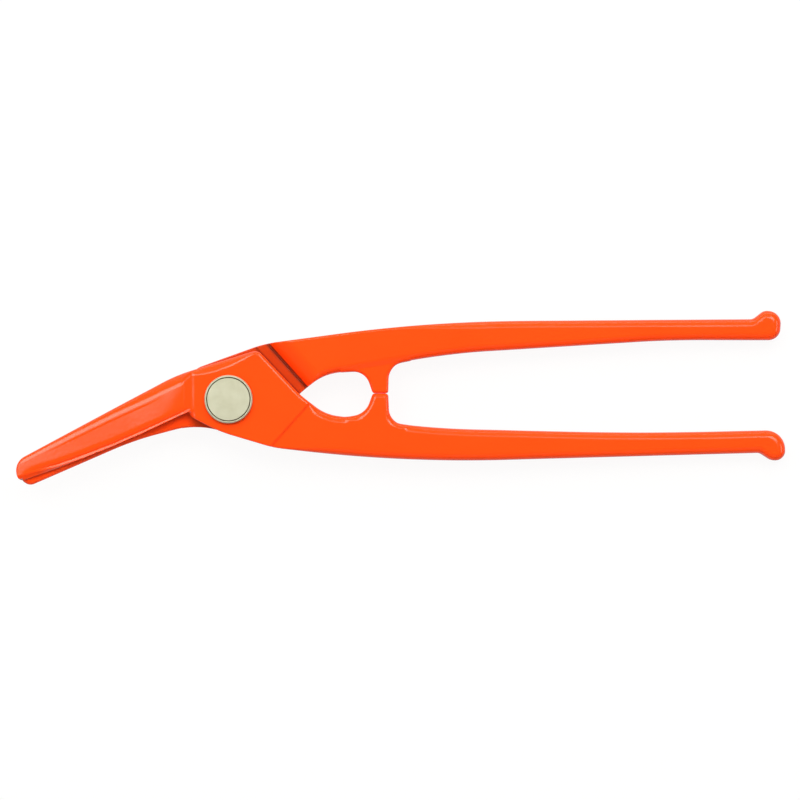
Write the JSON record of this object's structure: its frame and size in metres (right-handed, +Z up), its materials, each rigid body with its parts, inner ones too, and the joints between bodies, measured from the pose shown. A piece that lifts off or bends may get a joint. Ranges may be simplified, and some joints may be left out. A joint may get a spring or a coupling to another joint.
{
  "type": "tinner's snips",
  "caption": "Forged single-pivot sheet metal snips with narrow offset blades, two painted handles with end knobs and a round-headed pivot bolt.",
  "frame": {"origin": "on the pivot axis, at the flat end of the pivot bolt behind the nut", "axes": "+Z up the pivot axis to the bolt head; +X to the handle ends; the blades point to -X and slope to -Y; the snips lie in the XY plane"},
  "size_m": [0.3001, 0.0679, 0.0229],
  "materials": {
    "painted_forging": "gloss orange enamel over forged steel",
    "zinc_head": "pale yellow-green passivated zinc, satin",
    "zinc_washer": "zinc plated, satin",
    "spring_steel": "phosphated spring steel, matt"
  },
  "bodies": {
    "front": {"front_half": "painted_forging", "pivot_bolt": "zinc_head", "thrust_washer": "zinc_washer", "disc_spring": "spring_steel", "pivot_nut": "zinc_washer"},
    "rear": {"rear_half": "painted_forging"}
  },
  "joints": [
    {"name": "pivot", "type": "hinge", "parent": "front", "child": "rear", "pos_m": [0, 0, 0.01473], "axis": [0, 0, 1], "range_deg": [0, 97]}
  ]
}
